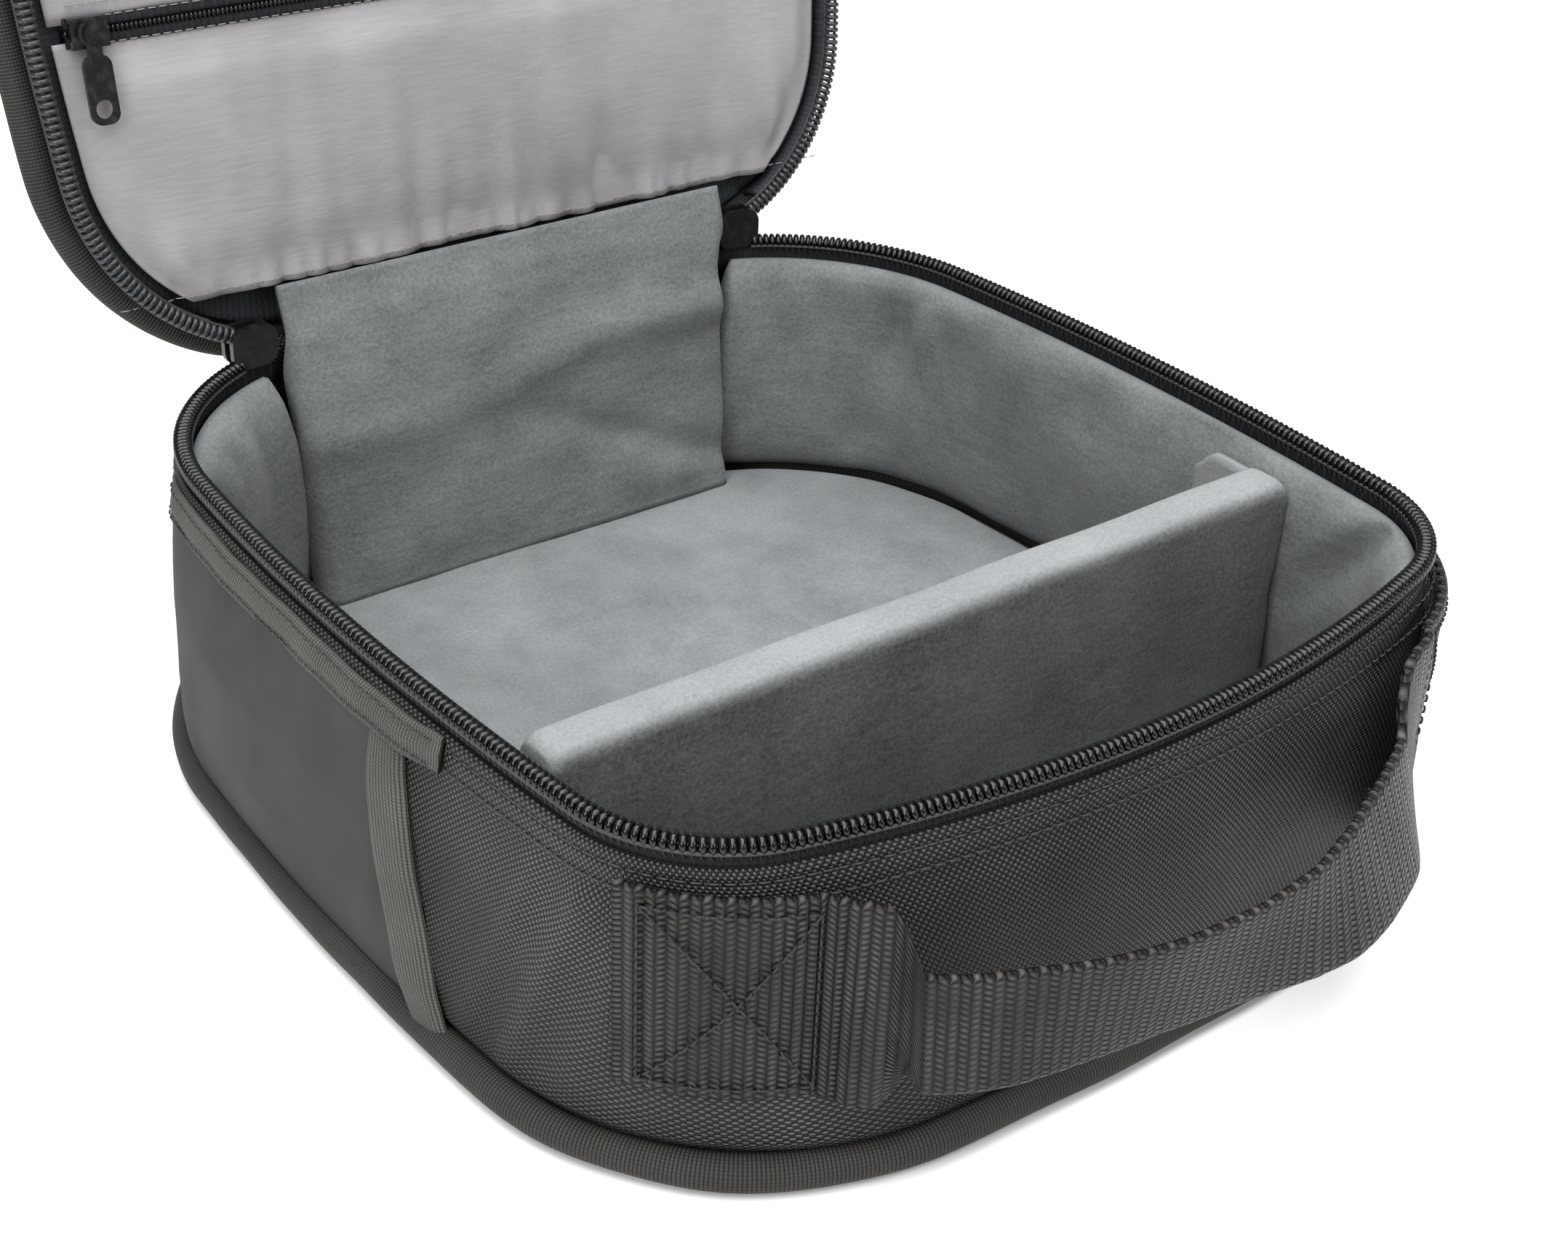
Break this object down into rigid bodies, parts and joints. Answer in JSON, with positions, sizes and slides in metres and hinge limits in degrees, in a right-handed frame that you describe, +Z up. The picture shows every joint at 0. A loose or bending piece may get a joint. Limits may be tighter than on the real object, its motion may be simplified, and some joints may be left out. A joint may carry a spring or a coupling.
{
  "type": "miniature carry case",
  "caption": "Soft rounded carry case with a zipped lid standing open, padded interior, a movable divider, a side pocket and a webbing handle.",
  "frame": {"origin": "centre of the flat bottom, on the surface that the case stands on", "axes": "+Z up, +X to the right along the front face with the handle, +Y to the back, towards the lid's hinge"},
  "size_m": [0.2648, 0.3485, 0.3379],
  "materials": {
    "ballistic_fabric": "coarse basket weave",
    "piping_fabric": "ribbed fabric over a round cord",
    "stiffener": "matte sheet",
    "brushed_lining": "brushed loop fabric",
    "divider_fabric": "brushed loop fabric, heathered",
    "hook_tape": "hook tape",
    "zip_tape": "fine herringbone tape",
    "zip_coil": "glossy nylon coil",
    "slider_enamel": "black enamel on zinc",
    "satin_lining": "soft satin",
    "foam": "soft foam sheet",
    "twill_fabric": "fine smooth twill",
    "grosgrain_tape": "ribbed tape",
    "handle_webbing": "heavy polypropylene webbing"
  },
  "bodies": {
    "root": {"base_bottom_panel": "ballistic_fabric", "base_stiffener_board": "stiffener", "base_floor_pad": "brushed_lining", "base_piping": "piping_fabric", "base_wall": "ballistic_fabric", "base_wall_liner": "brushed_lining", "base_zip_tape": "zip_tape", "base_zip_coil": "zip_coil", "hinge_inner_panel": "brushed_lining", "hinge_outer_panel": "ballistic_fabric", "main_slider_left": "slider_enamel", "main_slider_right": "slider_enamel", "side_pocket_panel": "twill_fabric", "pocket_binding": "grosgrain_tape", "pocket_elastic": "grosgrain_tape", "handle_patch_left": "handle_webbing", "handle_patch_right": "handle_webbing"},
    "lid": {"lid_zip_coil": "zip_coil", "lid_zip_tape": "zip_tape", "lid_hinge_band": "zip_tape", "lid_piping": "piping_fabric", "lid_lining_lower": "satin_lining", "lid_lining_upper": "satin_lining", "lid_pocket_back": "satin_lining", "lid_foam": "foam", "lid_stiffener_board": "stiffener", "lid_top_panel": "ballistic_fabric", "lid_inner_hinge_panel": "brushed_lining", "pocket_zip_tape": "zip_tape", "pocket_zip_coil": "zip_coil"},
    "handle": {"handle_grip": "handle_webbing"},
    "divider": {"divider_core": "stiffener", "divider_cover": "divider_fabric", "divider_hook_left": "hook_tape", "divider_hook_right": "hook_tape"},
    "pocket_slider": {"pocket_slider": "slider_enamel"},
    "pocket_pull": {"pocket_pull": "slider_enamel"},
    "main_pull_left": {"main_pull_left": "slider_enamel"},
    "main_pull_right": {"main_pull_right": "slider_enamel"}
  },
  "joints": [
    {"name": "lid_hinge", "type": "hinge", "parent": "root", "child": "lid", "pos_m": [0, 0.1239, 0.0846], "axis": [-1, 0, 0], "range_deg": [-99.3, 6]},
    {"name": "handle_swing", "type": "hinge", "parent": "root", "child": "handle", "pos_m": [0, -0.125, 0.044], "axis": [-1, 0, 0], "range_deg": [-30, 30]},
    {"name": "divider_shift", "type": "slide", "parent": "root", "child": "divider", "axis": [0, 1, 0], "range_m": [0, 0.075]},
    {"name": "pocket_zip_slide", "type": "slide", "parent": "lid", "child": "pocket_slider", "axis": [1, 0, 0], "range_m": [0, 0.19]},
    {"name": "pocket_pull_swing", "type": "hinge", "parent": "pocket_slider", "child": "pocket_pull", "pos_m": [-0.103, 0.13408, 0.16288], "axis": [0, -0.9869, 0.1616], "range_deg": [-12, 75]},
    {"name": "main_pull_left_swing", "type": "hinge", "parent": "root", "child": "main_pull_left", "pos_m": [-0.0757, 0.12629, 0.083], "axis": [0, 0.9996, 0.0279], "range_deg": [0, 25]},
    {"name": "main_pull_right_swing", "type": "hinge", "parent": "root", "child": "main_pull_right", "pos_m": [0.0757, 0.12629, 0.083], "axis": [0, 0.9996, 0.0279], "range_deg": [-25, 0]}
  ]
}
